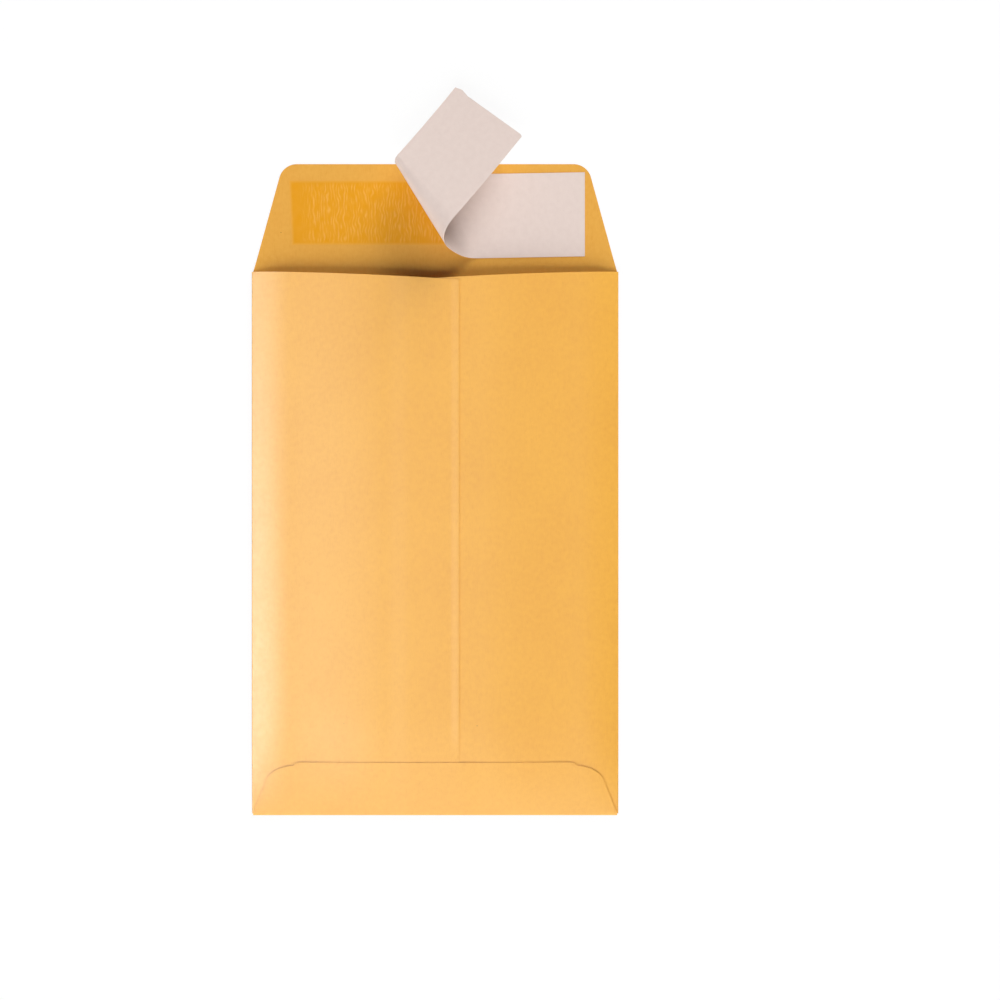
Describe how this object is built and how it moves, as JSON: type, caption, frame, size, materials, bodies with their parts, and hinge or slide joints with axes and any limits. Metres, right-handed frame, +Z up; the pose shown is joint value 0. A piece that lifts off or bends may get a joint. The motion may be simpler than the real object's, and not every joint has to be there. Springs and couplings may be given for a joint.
{
  "type": "paper envelope",
  "caption": "Open-end kraft paper envelope lying back up, its peel-and-seal flap open over an adhesive strip with a half-peeled release liner.",
  "frame": {"origin": "centre of the front panel's outer face, which lies on the surface; half way between the side folds and half way between the bottom fold and the score line of the seal flap", "axes": "+Y from the bottom fold to the open seal flap, +Z up from the surface through the back panels, +X to the right seen from above the back"},
  "size_m": [0.1524, 0.3022, 0.0232],
  "materials": {
    "kraft_paper": "matte",
    "dried_glue": "satin",
    "adhesive": "gloss",
    "liner_paper": "matte"
  },
  "bodies": {
    "root": {"envelope_sheet": "kraft_paper", "seam_glue": "dried_glue", "bottom_flap_glue": "dried_glue", "adhesive_strip": "adhesive", "release_liner": "liner_paper"}
  },
  "joints": []
}
